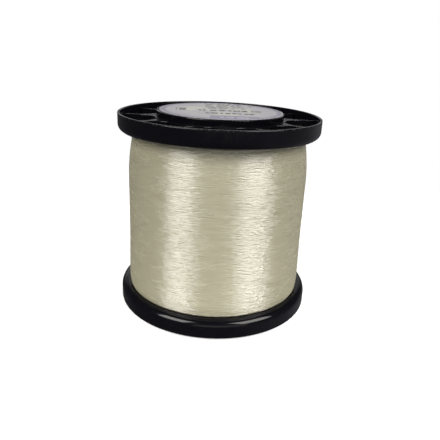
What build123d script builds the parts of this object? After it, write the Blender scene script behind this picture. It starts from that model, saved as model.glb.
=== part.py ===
from build123d import *
import os
from math import asin, cos, hypot, radians, sin

# Bulk fishing line spool: two ribbed flanges on a hidden barrel, a sleeve for the spindle, the
# wound line and a paper label. Millimetres. +Z runs up the spool's axis, and the origin is the
# centre of the lower hub's face, which the spool stands on.

# The spool's standard sizes
OVERALL_HEIGHT = 160.0  # lower hub face to upper hub face
FLANGE_RADIUS = 80.0
WINDING_WIDTH = 128.0  # between the two flanges
BARREL_RADIUS = 50.0
BORE_RADIUS = 11.0

# The flange moulding
HUB_PROUD = 2.0  # the hub face stands this far out past the rim's edge
HUB_RADIUS = 50.5
HUB_WALL = 2.5
RIM_WALL = 2.0
WEB = 3.0  # thickness of the disc beside the line, and of the plate on the hub
RIM_BEND = 5.2  # radius that turns the web into the rim
EDGE_ROUND = 0.7  # small round on the hub's and the rim's free edges

# The pockets in the flange's open side
POCKETS = 12
RIB = 2.0
RIB_SUNK = 3.0  # the ribs' tops lie this far below the rim's edge
POCKET_APEX = 51.5  # distance from the axis to a pocket's rounded inner end
RIM_THICKENING = 0.2  # the rim is a little thicker inside the pockets
FOOT_ROUND = 1.2  # round where a pocket's wall meets the web
RIB_ROUND = 0.5  # round along the ribs' tops

# What holds the barrel and the sleeve
SPIGOT_WALL = 2.5
SPIGOT_REACH = 8.0  # how far the spigot goes into the barrel
SLEEVE_WALL = 2.5
COLLAR_WALL = 3.0
COLLAR_HEIGHT = 12.0
HUB_RIBS = 6

BARREL_WALL = 3.0

# The wound line, which thins out towards the upper flange and bulges a little above the lower one
LINE_RADIUS = 72.3  # outside of the winding at mid height
LINE_TOP_RADIUS = 68.1
LINE_SHOULDER = 38.0  # height over which it thins out
LINE_BULGE_RADIUS = 73.0
LINE_BULGE_START = 44.0  # height above the lower flange at which the bulge starts
LINE_BULGE_HEIGHT = 9.0  # height above the lower flange at which it is widest
LINE_BOTTOM_RADIUS = 72.4

LABEL_RADIUS = 48.8
LABEL_THICKNESS = 0.2
LABEL_SHIFT = 0.8  # along +X: it was stuck a little off the middle

POCKET_REACH = FLANGE_RADIUS - RIM_WALL - RIM_THICKENING

# Heights in one flange's own frame: z = 0 is its hub face, and the line lies above INNER_FACE
INNER_FACE = (OVERALL_HEIGHT - WINDING_WIDTH) / 2
POCKET_FLOOR = INNER_FACE - WEB
RIB_TOP = HUB_PROUD + RIB_SUNK
SLEEVE_RADIUS = BORE_RADIUS + SLEEVE_WALL
SPIGOT_RADIUS = BARREL_RADIUS - BARREL_WALL


def ring(outer, inner, bottom, top):
    """A plain tube about the axis."""
    height = top - bottom
    tube = Cylinder(outer, height, align=(Align.CENTER, Align.CENTER, Align.MIN))
    tube -= Cylinder(inner, height, align=(Align.CENTER, Align.CENTER, Align.MIN))
    return Pos(0, 0, bottom) * tube


def revolved(outline):
    """A solid of revolution about the axis, from a closed outline drawn as (radius, height)."""
    return revolve(Plane.XZ * make_face(outline), Axis.Z)


def pocket_cutter():
    """One pocket, cut from the open side: an arc near the hub, and two straight sides out to the rim
    that leave a rib of even thickness between neighbours."""
    half_angle = radians(180 / POCKETS)
    arc_centre = (POCKET_APEX - RIB / 2) / (1 - sin(half_angle))
    arc_radius = arc_centre - POCKET_APEX
    tangent_x = arc_centre - arc_radius * sin(half_angle)
    tangent_y = arc_radius * cos(half_angle)
    corner_angle = half_angle - asin(RIB / 2 / POCKET_REACH)
    corner_x = POCKET_REACH * cos(corner_angle)
    corner_y = POCKET_REACH * sin(corner_angle)
    outline = [
        ThreePointArc((tangent_x, -tangent_y), (POCKET_APEX, 0), (tangent_x, tangent_y)),
        Line((tangent_x, tangent_y), (corner_x, corner_y)),
        ThreePointArc((corner_x, corner_y), (POCKET_REACH, 0), (corner_x, -corner_y)),
        Line((corner_x, -corner_y), (tangent_x, -tangent_y)),
    ]
    pocket = extrude(make_face(outline), POCKET_FLOOR)
    floor_edges = pocket.edges().group_by(Axis.Z)[-1]
    return fillet(floor_edges, FOOT_ROUND)


def flange_disc():
    """The turned shape of a flange: hub, web and rim, with the ring that the pockets are cut from."""
    rim_inside = FLANGE_RADIUS - RIM_WALL
    hub_inside = HUB_RADIUS - HUB_WALL
    outline = Polyline(
        (SLEEVE_RADIUS, 0),
        (HUB_RADIUS, 0),
        (HUB_RADIUS, RIB_TOP),
        (rim_inside, RIB_TOP),
        (rim_inside, HUB_PROUD),
        (FLANGE_RADIUS, HUB_PROUD),
        (FLANGE_RADIUS, INNER_FACE),
        (hub_inside, INNER_FACE),
        (hub_inside, WEB),
        (SLEEVE_RADIUS, WEB),
        close=True,
    )
    disc = revolved(outline)
    circles = disc.edges().filter_by(GeomType.CIRCLE)
    bend = circles.filter_by(lambda edge: edge.radius > rim_inside + 1).sort_by(Axis.Z)[-1]
    disc = fillet(bend, RIM_BEND)
    circles = disc.edges().filter_by(GeomType.CIRCLE)
    free = circles.filter_by(lambda edge: edge.center().Z < RIB_TOP - 1 and edge.radius > SPIGOT_RADIUS)
    return fillet(free, EDGE_ROUND)


def is_rib_edge(edge):
    """True for the arcs and straight edges along the ribs' tops, and not for those round the hub or rim."""
    level = all(abs(edge.position_at(share).Z - RIB_TOP) < 0.001 for share in (0, 0.5, 1))
    middle = edge.position_at(0.5)
    distance = hypot(middle.X, middle.Y)
    return level and POCKET_APEX - 0.1 < distance < POCKET_REACH - 0.1


def flange():
    """One flange with its hub face at z = 0 and the line's side facing up."""
    body = flange_disc()
    cutter = pocket_cutter()
    for index in range(POCKETS):
        body -= Rot(0, 0, (index + 0.5) * 360 / POCKETS) * cutter
    body = fillet(body.edges().filter_by(is_rib_edge), RIB_ROUND)
    foot = WEB / 2  # the walls inside the hub start within its plate
    spigot_inside = SPIGOT_RADIUS - SPIGOT_WALL
    body += ring(SPIGOT_RADIUS, spigot_inside, foot, INNER_FACE + SPIGOT_REACH)
    body += ring(SLEEVE_RADIUS + COLLAR_WALL, SLEEVE_RADIUS, foot, COLLAR_HEIGHT)
    rib_start = SLEEVE_RADIUS + COLLAR_WALL / 2
    rib_length = SPIGOT_RADIUS - SPIGOT_WALL / 2 - rib_start
    rib = Box(rib_length, RIB, COLLAR_HEIGHT - foot, align=(Align.MIN, Align.CENTER, Align.MIN))
    for index in range(HUB_RIBS):
        body += Rot(0, 0, index * 360 / HUB_RIBS) * Pos(rib_start, 0, foot) * rib
    return body


def winding():
    """The wound line as one closed ring."""
    bottom = INNER_FACE
    top = OVERALL_HEIGHT - INNER_FACE
    shoulder = top - LINE_SHOULDER
    bulge_start = bottom + LINE_BULGE_START
    widest = bottom + LINE_BULGE_HEIGHT
    bulge_halfway = LINE_BULGE_RADIUS - (LINE_BULGE_RADIUS - LINE_BOTTOM_RADIUS) / 4
    shoulder_halfway = LINE_RADIUS - (LINE_RADIUS - LINE_TOP_RADIUS) / 4
    outline = [
        Line((BARREL_RADIUS, bottom), (LINE_BOTTOM_RADIUS, bottom)),
        ThreePointArc(
            (LINE_BOTTOM_RADIUS, bottom),
            (bulge_halfway, bottom + LINE_BULGE_HEIGHT / 2),
            (LINE_BULGE_RADIUS, widest),
        ),
        Line((LINE_BULGE_RADIUS, widest), (LINE_RADIUS, bulge_start)),
        Line((LINE_RADIUS, bulge_start), (LINE_RADIUS, shoulder)),
        ThreePointArc(
            (LINE_RADIUS, shoulder),
            (shoulder_halfway, shoulder + LINE_SHOULDER / 2),
            (LINE_TOP_RADIUS, top),
        ),
        Line((LINE_TOP_RADIUS, top), (BARREL_RADIUS, top)),
        Line((BARREL_RADIUS, top), (BARREL_RADIUS, bottom)),
    ]
    return revolved(outline)


lower_flange = flange()
upper_flange = Pos(0, 0, OVERALL_HEIGHT) * Rot(180, 0, 0) * lower_flange

nodes = {
    "bottom_flange": lower_flange,
    "top_flange": upper_flange,
    "barrel": ring(BARREL_RADIUS, BARREL_RADIUS - BARREL_WALL, INNER_FACE, OVERALL_HEIGHT - INNER_FACE),
    "spindle_sleeve": ring(SLEEVE_RADIUS, BORE_RADIUS, 0, OVERALL_HEIGHT),
    "line_winding": winding(),
    "top_label": Pos(LABEL_SHIFT, 0, OVERALL_HEIGHT)
    * Cylinder(LABEL_RADIUS, LABEL_THICKNESS, align=(Align.CENTER, Align.CENTER, Align.MIN)),
}

os.makedirs("parts", exist_ok=True)
for name, solid in nodes.items():
    export_step(solid, f"parts/{name}.step")
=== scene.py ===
import math

import bmesh
import bpy
import numpy as np
from mathutils import Matrix, Vector


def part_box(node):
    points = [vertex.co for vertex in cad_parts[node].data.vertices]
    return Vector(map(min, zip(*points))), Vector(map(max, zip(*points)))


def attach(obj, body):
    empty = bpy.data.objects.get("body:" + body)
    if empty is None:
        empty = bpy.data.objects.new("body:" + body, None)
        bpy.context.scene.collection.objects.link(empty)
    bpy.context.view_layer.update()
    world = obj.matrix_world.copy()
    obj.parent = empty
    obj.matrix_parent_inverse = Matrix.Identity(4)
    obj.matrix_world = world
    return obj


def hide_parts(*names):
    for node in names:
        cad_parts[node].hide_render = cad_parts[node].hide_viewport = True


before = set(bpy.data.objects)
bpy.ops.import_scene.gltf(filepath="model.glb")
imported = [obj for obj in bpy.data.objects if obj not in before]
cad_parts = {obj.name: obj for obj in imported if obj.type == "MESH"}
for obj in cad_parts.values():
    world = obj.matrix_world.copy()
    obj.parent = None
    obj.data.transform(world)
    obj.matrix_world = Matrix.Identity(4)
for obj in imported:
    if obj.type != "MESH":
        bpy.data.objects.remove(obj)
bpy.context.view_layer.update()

# A bulk spool of fishing line. Metres, +Z up the spool's axis, origin at the lower hub's face.

BODY = "root"

# ---- Places read from the frame -------------------------------------------------------------
WINDING_LOW, WINDING_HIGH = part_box("line_winding")
LABEL_LOW, LABEL_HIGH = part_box("top_label")
BARREL_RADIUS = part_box("barrel")[1].x
FLANGE_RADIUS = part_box("top_flange")[1].x
LABEL_MIDDLE = (LABEL_LOW + LABEL_HIGH) / 2
LABEL_RADIUS = (LABEL_HIGH.x - LABEL_LOW.x) / 2
MIDDLE = Vector((0, 0, LABEL_HIGH.z / 2))

# ---- The winding's outline, as (height above its lower end, how far inside its widest) --------
WINDING_WIDTH = WINDING_HIGH.z - WINDING_LOW.z
BULGE_HEIGHT = 0.009  # it is widest here
BULGE_DROP = 0.0006  # at its lower end
WAIST_HEIGHT = 0.044
WAIST_DROP = 0.0007
SHOULDER = 0.038  # height over which it thins out at its upper end
SHOULDER_DROP = 0.0042

# ---- The line -------------------------------------------------------------------------------
SEED = 550
PITCH = 0.00065  # from turn to turn
LINE_WIDTH = 0.00082  # the line presses into its neighbours, so it is wider than the pitch
LINE_THICKNESS = 0.00062
STEP = 0.0014  # from one ring of points along the line to the next
SIDES = 6
PIECES = 4
TUCK = 0.03  # length over which each end of the line goes under its neighbours
CORE_INSET = LINE_THICKNESS * 0.3  # how far the closed ring lies below the strand's outside
DRIFT = 0.00002  # sideways shift that neighbouring turns share
SLOW_WAVES = (0.010, 0.00005)  # length and height of the strand's own sideways waves
QUICK_WAVES = (0.0025, 0.00009)
LIFT_WAVES = (0.0025, 0.00002)  # the same, in and out

# ---- The label's print, as (low x, high x, low y, high y) from the label's middle --------------
TEXT_ROWS = [(-0.018, 0.031, -0.0050, 0.0008), (-0.014, 0.024, -0.0205, -0.0150)]
NOTE_ROWS = [(-0.013, 0.020, low, low + 0.0036) for low in (0.010, 0.017, 0.024, 0.031, 0.038)]
SIDE_ROWS = [(0.021, 0.033, 0.029, 0.033), (-0.036, -0.028, -0.006, 0.008)]
BORDER = 0.0440  # the border lies between this radius and the plain edge
EDGE = 0.0012  # the plain edge's width
BADGE = (-0.010, 0.026, -0.0475, -0.030)
BADGE_ROWS = [(-0.004, 0.018, -0.0395, -0.0365)]

# ---- The camera -----------------------------------------------------------------------------
CAMERA_TURN = math.radians(-3)  # about the spool's axis, from straight in front
CAMERA_DISTANCE = 0.37995  # from the spool's axis, level
CAMERA_HEIGHT = 0.20879
CAMERA_PITCH = math.radians(20.384)  # down
CAMERA_YAW = math.radians(0.564)  # to the right
CAMERA_ROLL = math.radians(2.665)
CAMERA_LENS = 38.57
SENSOR = 36.0


# ---- Materials ------------------------------------------------------------------------------
def new_material(name):
    """A material, its node tree and its Principled shader."""
    material = bpy.data.materials.new(name)
    material.use_nodes = True
    return material, material.node_tree, material.node_tree.nodes["Principled BSDF"]


def noise(tree, scale, detail=3.0, stretch=(1, 1, 1)):
    """Noise in the object's own coordinates, whose scale counts features to the metre."""
    place = tree.nodes.new("ShaderNodeTexCoord")
    mapping = tree.nodes.new("ShaderNodeMapping")
    mapping.inputs["Scale"].default_value = stretch
    texture = tree.nodes.new("ShaderNodeTexNoise")
    texture.inputs["Scale"].default_value = scale
    texture.inputs["Detail"].default_value = detail
    tree.links.new(place.outputs["Object"], mapping.inputs["Vector"])
    tree.links.new(mapping.outputs["Vector"], texture.inputs["Vector"])
    return texture.outputs["Fac"]


def ramp(tree, value, start, end, low=0.0, high=1.0):
    """Maps a value from start..end to low..high, and holds it there outside."""
    node = tree.nodes.new("ShaderNodeMapRange")
    node.inputs["From Min"].default_value = start
    node.inputs["From Max"].default_value = end
    node.inputs["To Min"].default_value = low
    node.inputs["To Max"].default_value = high
    tree.links.new(value, node.inputs["Value"])
    return node.outputs["Result"]


def spread(tree, value, low, high):
    """Maps a noise value from 0.3..0.7 to low..high."""
    return ramp(tree, value, 0.3, 0.7, low, high)


def calculate(tree, operation, first, second):
    """A sum, product, larger value and so on of two values or numbers."""
    node = tree.nodes.new("ShaderNodeMath")
    node.operation = operation
    for socket, value in zip(node.inputs, (first, second)):
        if isinstance(value, (int, float)):
            socket.default_value = value
        else:
            tree.links.new(value, socket)
    return node.outputs["Value"]


def between(tree, value, low, high, soft):
    """1 where a value lies between two limits and 0 outside, with soft ends."""
    above = ramp(tree, value, low - soft, low + soft)
    below = ramp(tree, value, high + soft, high - soft)
    return calculate(tree, "MULTIPLY", above, below)


def coordinates(tree, middle):
    """The object's own x, y and z measured from a middle, and the distance from the middle's axis."""
    place = tree.nodes.new("ShaderNodeTexCoord")
    offset = tree.nodes.new("ShaderNodeVectorMath")
    offset.operation = "SUBTRACT"
    offset.inputs[1].default_value = middle
    split = tree.nodes.new("ShaderNodeSeparateXYZ")
    tree.links.new(place.outputs["Object"], offset.inputs[0])
    tree.links.new(offset.outputs["Vector"], split.inputs["Vector"])
    x, y, z = split.outputs
    square = calculate(tree, "ADD", calculate(tree, "MULTIPLY", x, x), calculate(tree, "MULTIPLY", y, y))
    return x, y, z, calculate(tree, "POWER", square, 0.5)


def mix(tree, share, first, second):
    """A colour between two colours."""
    node = tree.nodes.new("ShaderNodeMix")
    node.data_type = "RGBA"
    for name, colour in (("A", first), ("B", second)):
        socket = next(s for s in node.inputs if s.name == name and s.type == "RGBA")
        if isinstance(colour, tuple):
            socket.default_value = (*colour, 1)
        else:
            tree.links.new(colour, socket)
    tree.links.new(share, node.inputs["Factor"])
    return next(s for s in node.outputs if s.type == "RGBA")


def bump(tree, shader, height, distance):
    """Raises the surface by a height value times distance."""
    node = tree.nodes.new("ShaderNodeBump")
    node.inputs["Distance"].default_value = distance
    tree.links.new(height, node.inputs["Height"])
    tree.links.new(node.outputs["Normal"], shader.inputs["Normal"])


def black_plastic():
    """Glossy black polystyrene: an uneven gloss, fine moulding texture, and scuffs along the rims."""
    material, tree, shader = new_material("black_plastic")
    _, _, z, radius = coordinates(tree, MIDDLE)
    height = calculate(tree, "ABSOLUTE", z, 0)
    outer = ramp(tree, radius, FLANGE_RADIUS - 0.0012, FLANGE_RADIUS - 0.0002)
    open_edge = ramp(tree, height, MIDDLE.z - 0.0036, MIDDLE.z - 0.0024)
    scuffs = ramp(tree, noise(tree, 500, 5), 0.50, 0.62)
    wear = calculate(tree, "MULTIPLY", calculate(tree, "MULTIPLY", outer, open_edge), scuffs)
    colour = mix(tree, noise(tree, 60, 4), (0.0018, 0.0018, 0.0028), (0.0030, 0.0030, 0.0045))
    tree.links.new(mix(tree, wear, colour, (0.014, 0.014, 0.017)), shader.inputs["Base Color"])
    gloss = spread(tree, noise(tree, 420, 6), 0.07, 0.15)
    marks = ramp(tree, noise(tree, 900, 3, (1, 1, 0.08)), 0.60, 0.72, 0.0, 0.12)
    rough = calculate(tree, "ADD", gloss, marks)
    rough = calculate(tree, "ADD", rough, calculate(tree, "MULTIPLY", wear, 0.3))
    tree.links.new(rough, shader.inputs["Roughness"])
    shader.inputs["Specular IOR Level"].default_value = 0.24
    bump(tree, shader, noise(tree, 900, 2), 0.00001)
    return material


def core_plastic():
    """The satin black plastic of the hidden barrel and the sleeve."""
    material, tree, shader = new_material("core_plastic")
    colour = mix(tree, noise(tree, 90, 4), (0.008, 0.008, 0.010), (0.014, 0.014, 0.017))
    tree.links.new(colour, shader.inputs["Base Color"])
    streaks = noise(tree, 300, 3, (1, 1, 0.05))
    tree.links.new(spread(tree, streaks, 0.35, 0.55), shader.inputs["Roughness"])
    bump(tree, shader, streaks, 0.00002)
    return material


def nylon():
    """Ivory nylon line, opaque and glossy, a little uneven in colour from turn to turn."""
    material, tree, shader = new_material("nylon_line")
    turns = noise(tree, 260, 3, (0.15, 0.15, 1))
    tree.links.new(mix(tree, turns, (0.255, 0.24, 0.162), (0.315, 0.30, 0.212)), shader.inputs["Base Color"])
    tree.links.new(spread(tree, turns, 0.18, 0.30), shader.inputs["Roughness"])
    shader.inputs["IOR"].default_value = 2.0
    shader.inputs["Specular IOR Level"].default_value = 0.8
    bump(tree, shader, noise(tree, 420, 2, (1, 1, 3.2)), 0.00012)
    return material


def printed_rows(tree, x, y, rows, dash):
    """1 on the bars of some rows of print. A dash is a bar's usual length."""
    total = None
    for low_x, high_x, low_y, high_y in rows:
        across = between(tree, x, low_x, high_x, 0.0003)
        row = calculate(tree, "MULTIPLY", across, between(tree, y, low_y, high_y, 0.0004))
        pattern = tree.nodes.new("ShaderNodeTexNoise")
        pattern.noise_dimensions = "1D"
        pattern.inputs["Scale"].default_value = 0.6 / dash
        pattern.inputs["Detail"].default_value = 1.0
        tree.links.new(calculate(tree, "ADD", x, low_y * 40), pattern.inputs["W"])
        bars = ramp(tree, pattern.outputs["Fac"], 0.44, 0.50)
        row = calculate(tree, "MULTIPLY", row, bars)
        total = row if total is None else calculate(tree, "MAXIMUM", total, row)
    return total


def paper():
    """Satin white paper, printed with a border, a tinted patch and rows of plain bars."""
    material, tree, shader = new_material("label_paper")
    x, y, _, radius = coordinates(tree, LABEL_MIDDLE)
    fibres = noise(tree, 1400, 5)
    colour = mix(tree, fibres, (0.215, 0.212, 0.240), (0.300, 0.297, 0.322))
    blotches = ramp(tree, noise(tree, 90, 3), 0.42, 0.62)
    centre = calculate(tree, "MULTIPLY", ramp(tree, radius, 0.040, 0.028), blotches)
    colour = mix(tree, centre, colour, (0.36, 0.36, 0.32))
    border = between(tree, radius, BORDER, LABEL_RADIUS - EDGE, 0.0002)
    colour = mix(tree, border, colour, (0.155, 0.15, 0.195))
    low_x, high_x, low_y, high_y = BADGE
    badge = calculate(
        tree,
        "MULTIPLY",
        between(tree, x, low_x, high_x, 0.0003),
        between(tree, y, low_y, high_y, 0.0004),
    )
    within = ramp(tree, radius, LABEL_RADIUS - EDGE, LABEL_RADIUS - EDGE - 0.0004)
    badge = calculate(tree, "MULTIPLY", badge, within)
    colour = mix(tree, badge, colour, (0.16, 0.157, 0.215))
    colour = mix(tree, printed_rows(tree, x, y, BADGE_ROWS, 0.0022), colour, (0.4, 0.4, 0.45))
    colour = mix(tree, printed_rows(tree, x, y, TEXT_ROWS, 0.0022), colour, (0.014, 0.012, 0.010))
    colour = mix(tree, printed_rows(tree, x, y, NOTE_ROWS, 0.0018), colour, (0.05, 0.05, 0.055))
    colour = mix(tree, printed_rows(tree, x, y, SIDE_ROWS, 0.0022), colour, (0.09, 0.09, 0.10))
    tree.links.new(colour, shader.inputs["Base Color"])
    tree.links.new(spread(tree, fibres, 0.36, 0.50), shader.inputs["Roughness"])
    relief = calculate(tree, "ADD", noise(tree, 45, 2), calculate(tree, "MULTIPLY", fibres, 0.06))
    bump(tree, shader, relief, 0.0004)
    return material


# ---- Mesh building --------------------------------------------------------------------------
def mesh_object(name, points, faces, material):
    """A smooth-shaded object from points and faces."""
    mesh = bpy.data.meshes.new(name)
    mesh.from_pydata(np.asarray(points).tolist(), [], faces)
    mesh.polygons.foreach_set("use_smooth", [True] * len(mesh.polygons))
    mesh.update()
    mesh.materials.append(material)
    piece = bpy.data.objects.new(name, mesh)
    bpy.context.scene.collection.objects.link(piece)
    return piece


def strand(centres, width, thickness, sides):
    """Points and faces of an oval tube along a line of centres, closed at both ends."""
    along = np.gradient(centres, axis=0)
    along /= np.linalg.norm(along, axis=1)[:, None]
    outward = centres * (1, 1, 0)
    outward -= along * np.sum(outward * along, axis=1)[:, None]
    outward /= np.linalg.norm(outward, axis=1)[:, None]
    across = np.cross(along, outward)
    angles = np.arange(sides) * 2 * math.pi / sides
    rings = (
        centres[:, None]
        + thickness / 2 * np.cos(angles)[None, :, None] * outward[:, None]
        + width / 2 * np.sin(angles)[None, :, None] * across[:, None]
    )
    count = len(centres)
    row = np.arange(count - 1)[:, None] * sides
    side = np.arange(sides)[None, :]
    after = (side + 1) % sides
    quads = np.stack([row + side, row + after, row + sides + after, row + sides + side], axis=-1)
    faces = quads.reshape(-1, 4).tolist()
    faces.append(list(range(sides))[::-1])
    faces.append(list(range((count - 1) * sides, count * sides)))
    return rings.reshape(-1, 3), faces


def lathe(profile, segments):
    """Points and faces of a closed outline of (radius, height) turned about the axis."""
    angles = np.arange(segments) * 2 * math.pi / segments
    profile = np.array(profile)
    points = np.stack(
        [
            np.outer(np.cos(angles), profile[:, 0]),
            np.outer(np.sin(angles), profile[:, 0]),
            np.tile(profile[:, 1], (segments, 1)),
        ],
        axis=-1,
    ).reshape(-1, 3)
    count = len(profile)
    faces = []
    for a in range(segments):
        b = (a + 1) % segments
        for i in range(count):
            j = (i + 1) % count
            faces.append((a * count + i, b * count + i, b * count + j, a * count + j))
    return points, faces


# ---- The wound line -------------------------------------------------------------------------
def winding_radius(height):
    """The winding's outer radius at a height."""
    up = height - WINDING_LOW.z
    heights = [0, BULGE_HEIGHT / 2, BULGE_HEIGHT, WAIST_HEIGHT, WINDING_WIDTH]
    drops = [BULGE_DROP, BULGE_DROP / 4, 0, WAIST_DROP, WAIST_DROP]
    thinning = np.clip((up - WINDING_WIDTH + SHOULDER) / SHOULDER, 0, 1)
    return WINDING_HIGH.x - np.interp(up, heights, drops) - SHOULDER_DROP * thinning**2


def wander(generator, count, length, amplitude):
    """A smooth random value at every point along the line, which changes over about one length."""
    reach = math.ceil(2 * length / STEP)
    kernel = np.exp(-2 * (np.arange(-reach, reach + 1) * STEP / length) ** 2)
    kernel *= amplitude / np.linalg.norm(kernel)
    return np.convolve(generator.normal(size=count), kernel, "same")


def drift(generator, angle, height, amplitude):
    """A smooth random shift that neighbouring turns share."""
    total = np.zeros_like(angle)
    waves = 8
    for _ in range(waves):
        around = generator.integers(2, 7)
        length = generator.uniform(0.02, 0.06)
        phase = generator.uniform(0, 2 * math.pi)
        total += np.sin(angle * around + height * 2 * math.pi / length + phase)
    return total * amplitude * math.sqrt(2 / waves)


def wind():
    """The centres of the outermost layer of the line, one long wavy coil from flange to flange."""
    generator = np.random.default_rng(SEED)
    girth = 2 * math.pi * WINDING_HIGH.x
    half = LINE_WIDTH / 2
    low = WINDING_LOW.z + half
    high = WINDING_HIGH.z - half
    turns = (high - low) / PITCH
    distance = np.arange(0, turns * girth, STEP)
    angle = distance / girth * 2 * math.pi
    height = low + distance / girth * PITCH
    height = height + drift(generator, angle, height, DRIFT)
    height = height + wander(generator, len(distance), *SLOW_WAVES)
    height = height + wander(generator, len(distance), *QUICK_WAVES)
    height = np.clip(height, low, high)
    lift = wander(generator, len(distance), *LIFT_WAVES)
    from_end = np.minimum(distance, distance[-1] - distance)
    tuck = LINE_THICKNESS * (1 - np.clip(from_end / TUCK, 0, 1)) ** 2
    radius = winding_radius(height) - LINE_THICKNESS / 2 + lift - tuck
    return np.stack([radius * np.cos(angle), radius * np.sin(angle), height], axis=-1)


def line_core(material):
    """The turns deep in the winding, as one closed ring under the visible ones."""
    heights = np.linspace(WINDING_LOW.z, WINDING_HIGH.z, 33)
    profile = [(winding_radius(height) - CORE_INSET, height) for height in heights]
    profile = [(BARREL_RADIUS, heights[0])] + profile + [(BARREL_RADIUS, heights[-1])]
    points, faces = lathe(profile, 128)
    return mesh_object("line_core", points, faces, material)


def build_winding():
    """The line, as one continuous strand cut into a few pieces for their size, on its core."""
    material = nylon()
    centres = wind()
    core = line_core(material)
    pieces = [core]
    length = len(centres) // PIECES
    for number in range(PIECES):
        last = len(centres) if number == PIECES - 1 else (number + 1) * length + 1
        points, faces = strand(centres[number * length : last], LINE_WIDTH, LINE_THICKNESS, SIDES)
        pieces.append(mesh_object(f"line_turns_{number + 1}", points, faces, material))
    for piece in pieces:
        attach(piece, BODY)
    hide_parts("line_winding")


# ---- The label ------------------------------------------------------------------------------
def build_label():
    """The paper disc."""
    rings = 24
    around = 144
    points = []
    for i in range(1, rings + 1):
        for k in range(around):
            angle = k * 2 * math.pi / around
            radius = LABEL_RADIUS * i / rings
            x = LABEL_MIDDLE.x + radius * math.cos(angle)
            y = LABEL_MIDDLE.y + radius * math.sin(angle)
            points.append((x, y, LABEL_HIGH.z))
    faces = []
    for i in range(rings - 1):
        for k in range(around):
            j = (k + 1) % around
            faces.append((i * around + k, (i + 1) * around + k, (i + 1) * around + j, i * around + j))
    faces.append(tuple(range(around)))
    label = mesh_object("paper_label", points, faces, paper())
    solid = label.modifiers.new("thickness", "SOLIDIFY")
    solid.thickness = LABEL_HIGH.z - LABEL_LOW.z
    solid.offset = -1
    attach(label, BODY)
    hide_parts("top_label")


# ---- Finishes on the CAD pieces -------------------------------------------------------------
def finish_mouldings():
    """Gives the flanges, the barrel and the sleeve their plastics."""
    glossy = black_plastic()
    satin = core_plastic()
    finishes = {"top_flange": glossy, "bottom_flange": glossy, "barrel": satin, "spindle_sleeve": satin}
    for node, material in finishes.items():
        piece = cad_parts[node]
        piece.data.materials.clear()
        piece.data.materials.append(material)


# ---- Floor, light and camera ----------------------------------------------------------------
def build_floor():
    """A plain pale floor that fades out into a plain white backdrop."""
    material, tree, shader = new_material("floor")
    shader.inputs["Base Color"].default_value = (0.75, 0.75, 0.75, 1)
    shader.inputs["Roughness"].default_value = 0.9
    shader.inputs["Specular IOR Level"].default_value = 0.1
    shader.inputs["Emission Color"].default_value = (1, 1, 1, 1)
    shader.inputs["Emission Strength"].default_value = 0.5
    place = tree.nodes.new("ShaderNodeTexCoord")
    distance = tree.nodes.new("ShaderNodeVectorMath")
    distance.operation = "LENGTH"
    tree.links.new(place.outputs["Object"], distance.inputs[0])
    tree.links.new(ramp(tree, distance.outputs["Value"], 0.50, 0.20), shader.inputs["Alpha"])
    half = 0.7
    corners = [(-half, -half, 0), (half, -half, 0), (half, half, 0), (-half, half, 0)]
    floor = mesh_object("floor", corners, [(0, 1, 2, 3)], material)
    floor.visible_glossy = False


def build_backdrop():
    """A white dome that only the camera sees, so that it puts no light on the spool."""
    material, _, shader = new_material("backdrop")
    shader.inputs["Base Color"].default_value = (0, 0, 0, 1)
    shader.inputs["Specular IOR Level"].default_value = 0
    shader.inputs["Emission Color"].default_value = (1, 1, 1, 1)
    shader.inputs["Emission Strength"].default_value = 1.0
    shape = bmesh.new()
    bmesh.ops.create_icosphere(shape, subdivisions=3, radius=30)
    mesh = bpy.data.meshes.new("backdrop")
    shape.to_mesh(mesh)
    mesh.materials.append(material)
    dome = bpy.data.objects.new("backdrop", mesh)
    bpy.context.scene.collection.objects.link(dome)
    dome.visible_diffuse = False
    dome.visible_glossy = False
    dome.visible_transmission = False
    dome.visible_shadow = False


def softbox(name, azimuth, elevation, size, brightness):
    """A rectangular light that faces the spool, whose sizes are the angles that it fills.
    Azimuth is about +Z from +X, all in degrees."""
    distance = 3.0
    width, height = [2 * distance * math.tan(math.radians(angle / 2)) for angle in size]
    data = bpy.data.lights.new(name, "AREA")
    data.shape = "RECTANGLE"
    data.size = width
    data.size_y = height
    data.energy = brightness * math.pi * width * height
    data.color = (1.0, 0.975, 0.93)
    light = bpy.data.objects.new(name, data)
    a = math.radians(azimuth) + CAMERA_TURN
    e = math.radians(elevation)
    way = Vector((math.cos(a) * math.cos(e), math.sin(a) * math.cos(e), math.sin(e)))
    light.location = MIDDLE + way * distance
    light.rotation_mode = "QUATERNION"
    light.rotation_quaternion = way.to_track_quat("Z", "Y")
    bpy.context.scene.collection.objects.link(light)


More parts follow.
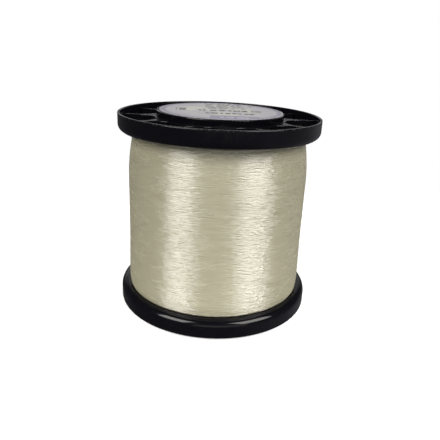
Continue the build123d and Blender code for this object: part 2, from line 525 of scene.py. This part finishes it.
def build_world():
    """A dim studio with a pale wall behind the spool, and a faint glow low down on its right."""
    world = bpy.data.worlds.new("studio")
    bpy.context.scene.world = world
    world.use_nodes = True
    tree = world.node_tree
    place = tree.nodes.new("ShaderNodeTexCoord")
    split = tree.nodes.new("ShaderNodeSeparateXYZ")
    tree.links.new(place.outputs["Generated"], split.inputs["Vector"])
    above = ramp(tree, split.outputs["Z"], 0.156, 0.170)
    below = ramp(tree, split.outputs["Z"], 0.75, 0.45)
    behind = ramp(tree, split.outputs["Y"], 0.75, 0.95)
    share = calculate(tree, "MULTIPLY", calculate(tree, "MULTIPLY", above, below), behind)
    low = ramp(tree, split.outputs["Z"], 0.05, -0.05)
    glow = calculate(tree, "MULTIPLY", low, ramp(tree, split.outputs["X"], 0.35, 0.75))
    shade = mix(tree, glow, (0.060, 0.060, 0.067), (0.20, 0.20, 0.22))
    shade = mix(tree, share, shade, (1.0, 1.0, 1.0))
    tree.links.new(shade, tree.nodes["Background"].inputs["Color"])


def build_camera():
    """The camera, level distance and height from the spool, then pitched, turned and rolled."""
    data = bpy.data.cameras.new("camera")
    data.lens = CAMERA_LENS
    data.sensor_width = SENSOR
    data.clip_start = 0.01
    data.clip_end = 200
    camera = bpy.data.objects.new("camera", data)
    turn = Matrix.Rotation(CAMERA_TURN, 4, "Z")
    place = Matrix.Translation((0, -CAMERA_DISTANCE, CAMERA_HEIGHT))
    yaw = Matrix.Rotation(-CAMERA_YAW, 4, "Z")
    pitch = Matrix.Rotation(math.pi / 2 - CAMERA_PITCH, 4, "X")
    roll = Matrix.Rotation(CAMERA_ROLL, 4, "Z")
    camera.matrix_world = turn @ place @ yaw @ pitch @ roll
    bpy.context.scene.collection.objects.link(camera)
    bpy.context.scene.camera = camera


build_camera()
build_floor()
build_backdrop()
build_world()
softbox("left_softbox", 222, 36, (31, 34), 11.1)
softbox("right_softbox", 325.5, 40, (36, 34), 10.6)
softbox("front_fill", 280, 8, (60, 30), 0.9)
finish_mouldings()
build_winding()
build_label()
bpy.context.scene.view_settings.view_transform = "Standard"
